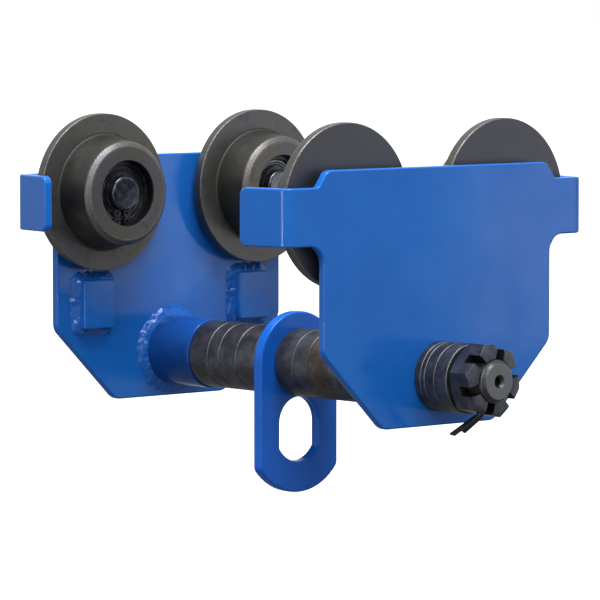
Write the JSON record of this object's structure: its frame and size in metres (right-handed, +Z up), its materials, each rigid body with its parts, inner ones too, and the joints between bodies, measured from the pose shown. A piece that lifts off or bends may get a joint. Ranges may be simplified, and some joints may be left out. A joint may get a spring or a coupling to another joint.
{
  "type": "manual beam trolley",
  "caption": "Push trolley that runs on the lower flange of an I-beam: two side plates, flanged wheels, a cross shaft with spacers and a swinging load lug.",
  "frame": {"origin": "middle of the rolling plane, where the wheel treads stand on the beam's flange: midway between the side plates and between the axles", "axes": "+X along the cross shaft towards the side with the outer spacers, +Y along the beam, +Z up"},
  "size_m": [0.3073, 0.23, 0.2132],
  "materials": {
    "blue_paint": "glossy blue paint over steel plate and weld beads",
    "wheel_steel": "turned steel, dark olive grey, bright where the edges are worn",
    "bearing_steel": "dark bearing rings and shields",
    "axle_steel": "smooth dark steel with a rounded end",
    "shaft_steel": "dark threaded steel",
    "spacer_steel": "dark sawn and turned rings with bright edges",
    "black_oxide": "black oxide"
  },
  "bodies": {
    "frame": {"left_side_plate": "blue_paint", "left_boss": "blue_paint", "left_castle_nut": "black_oxide", "left_split_pin": "black_oxide", "right_side_plate": "blue_paint", "right_boss": "blue_paint", "right_castle_nut": "black_oxide", "right_split_pin": "black_oxide", "cross_shaft": "shaft_steel", "left_spacer_1": "spacer_steel", "right_spacer_1": "spacer_steel", "left_spacer_2": "spacer_steel", "right_spacer_2": "spacer_steel", "left_spacer_3": "spacer_steel", "right_spacer_3": "spacer_steel", "left_spacer_4": "spacer_steel", "right_spacer_4": "spacer_steel", "left_spacer_5": "spacer_steel", "right_spacer_5": "spacer_steel", "outer_spacer_1": "spacer_steel", "outer_spacer_2": "spacer_steel", "outer_spacer_3": "spacer_steel", "outer_spacer_4": "spacer_steel", "left_washer": "spacer_steel", "left_front_guide_block": "blue_paint", "left_front_axle": "axle_steel", "left_front_axle_snap_ring": "black_oxide", "left_front_bearing_inner_ring": "bearing_steel", "left_rear_guide_block": "blue_paint", "left_rear_axle": "axle_steel", "left_rear_axle_snap_ring": "black_oxide", "left_rear_bearing_inner_ring": "bearing_steel", "right_front_guide_block": "blue_paint", "right_front_axle": "axle_steel", "right_front_axle_snap_ring": "black_oxide", "right_front_bearing_inner_ring": "bearing_steel", "right_rear_guide_block": "blue_paint", "right_rear_axle": "axle_steel", "right_rear_axle_snap_ring": "black_oxide", "right_rear_bearing_inner_ring": "bearing_steel"},
    "left_front_wheel_body": {"left_front_wheel": "wheel_steel", "left_front_bearing_outer_ring": "bearing_steel", "left_front_wheel_snap_ring": "black_oxide"},
    "left_rear_wheel_body": {"left_rear_wheel": "wheel_steel", "left_rear_bearing_outer_ring": "bearing_steel", "left_rear_wheel_snap_ring": "black_oxide"},
    "right_front_wheel_body": {"right_front_wheel": "wheel_steel", "right_front_bearing_outer_ring": "bearing_steel", "right_front_wheel_snap_ring": "black_oxide"},
    "right_rear_wheel_body": {"right_rear_wheel": "wheel_steel", "right_rear_bearing_outer_ring": "bearing_steel", "right_rear_wheel_snap_ring": "black_oxide"},
    "lug": {"load_lug": "blue_paint"}
  },
  "joints": [
    {"name": "left_front_wheel_spin", "type": "hinge", "parent": "frame", "child": "left_front_wheel_body", "pos_m": [-0.0906, -0.0584, 0.03135], "axis": [1, 0, 0], "continuous": true},
    {"name": "left_rear_wheel_spin", "type": "hinge", "parent": "frame", "child": "left_rear_wheel_body", "pos_m": [-0.0906, 0.0584, 0.03135], "axis": [1, 0, 0], "continuous": true},
    {"name": "right_front_wheel_spin", "type": "hinge", "parent": "frame", "child": "right_front_wheel_body", "pos_m": [0.0906, -0.0584, 0.03135], "axis": [1, 0, 0], "continuous": true},
    {"name": "right_rear_wheel_spin", "type": "hinge", "parent": "frame", "child": "right_rear_wheel_body", "pos_m": [0.0906, 0.0584, 0.03135], "axis": [1, 0, 0], "continuous": true},
    {"name": "lug_swing", "type": "hinge", "parent": "frame", "child": "lug", "pos_m": [-0.0018, 0, -0.06275], "axis": [1, 0, 0], "range_deg": [-110, 110]}
  ]
}
